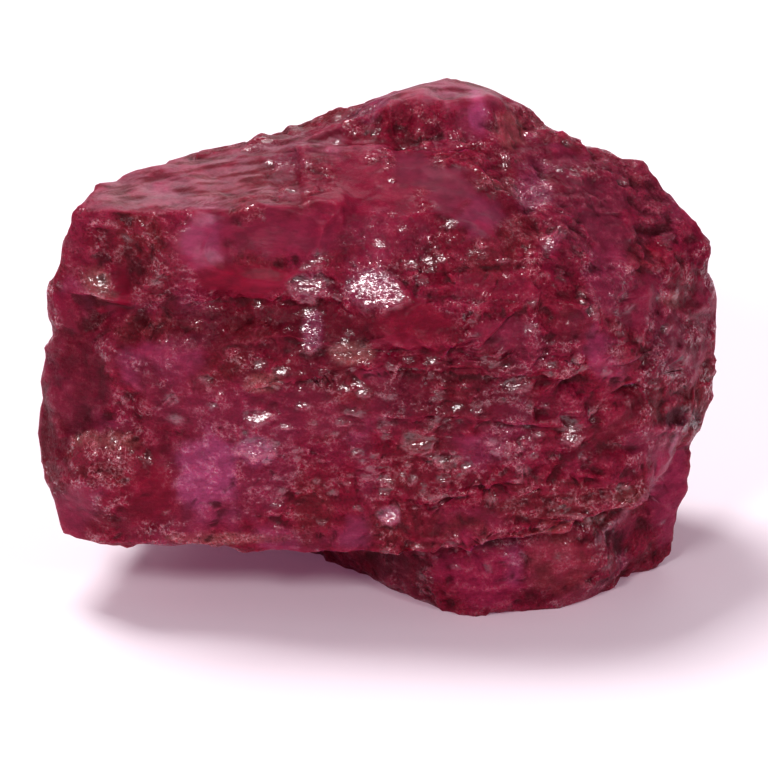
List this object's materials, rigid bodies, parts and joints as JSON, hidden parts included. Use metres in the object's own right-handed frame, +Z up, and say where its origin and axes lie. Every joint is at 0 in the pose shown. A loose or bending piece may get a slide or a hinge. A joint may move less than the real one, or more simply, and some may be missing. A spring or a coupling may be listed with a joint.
{
  "type": "rough garnet lump",
  "caption": "Rough, unpolished lump of massive garnet with ledges, shell-shaped breaks and a flat broken underside that it rests on.",
  "frame": {"origin": "middle of the stone's box, on the surface it rests on", "axes": "+X to the right across the pictured front, -Y towards the viewer, +Z up"},
  "size_m": [0.0612, 0.0368, 0.0441],
  "materials": {
    "garnet": "glassy broken surface, deep red to magenta, translucent at thin edges"
  },
  "bodies": {
    "root": {"garnet": "garnet"}
  },
  "joints": []
}
